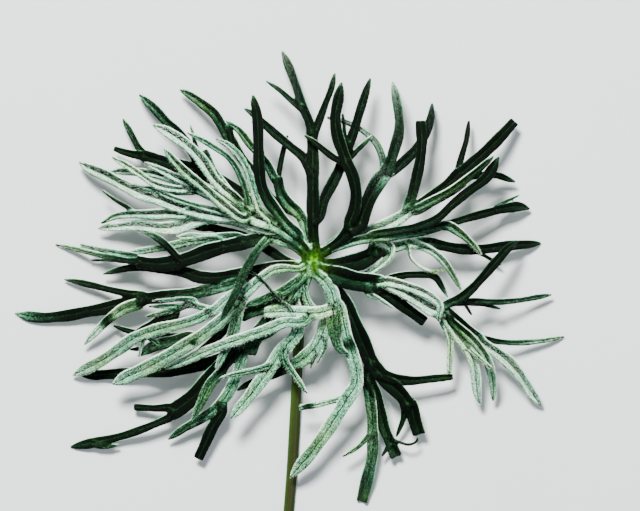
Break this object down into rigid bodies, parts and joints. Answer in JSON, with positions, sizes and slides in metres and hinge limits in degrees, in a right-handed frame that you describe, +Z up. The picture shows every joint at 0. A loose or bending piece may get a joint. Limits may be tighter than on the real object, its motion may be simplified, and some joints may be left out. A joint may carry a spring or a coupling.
{
  "type": "picked palmate delphinium leaf with its stalk",
  "caption": "Hairy grey-green palmate leaf, cut to its hub into narrow forked lobes, picked with its stalk and laid down on its drooping tips.",
  "frame": {"origin": "the middle of the leaf's box, seen from above, on the surface that the leaf lies on", "axes": "+Z up from the surface, +Y from the cut end of the stalk towards the top of the blade, +X to the right as the leaf is seen from above"},
  "size_m": [0.1218, 0.1452, 0.0253],
  "materials": {
    "blade": "matte grey-green leaf under short silvery hairs",
    "stalk": "satin olive-green stalk with a brownish middle"
  },
  "bodies": {
    "root": {"leaf_blade": "blade", "petiole": "stalk"}
  },
  "joints": []
}
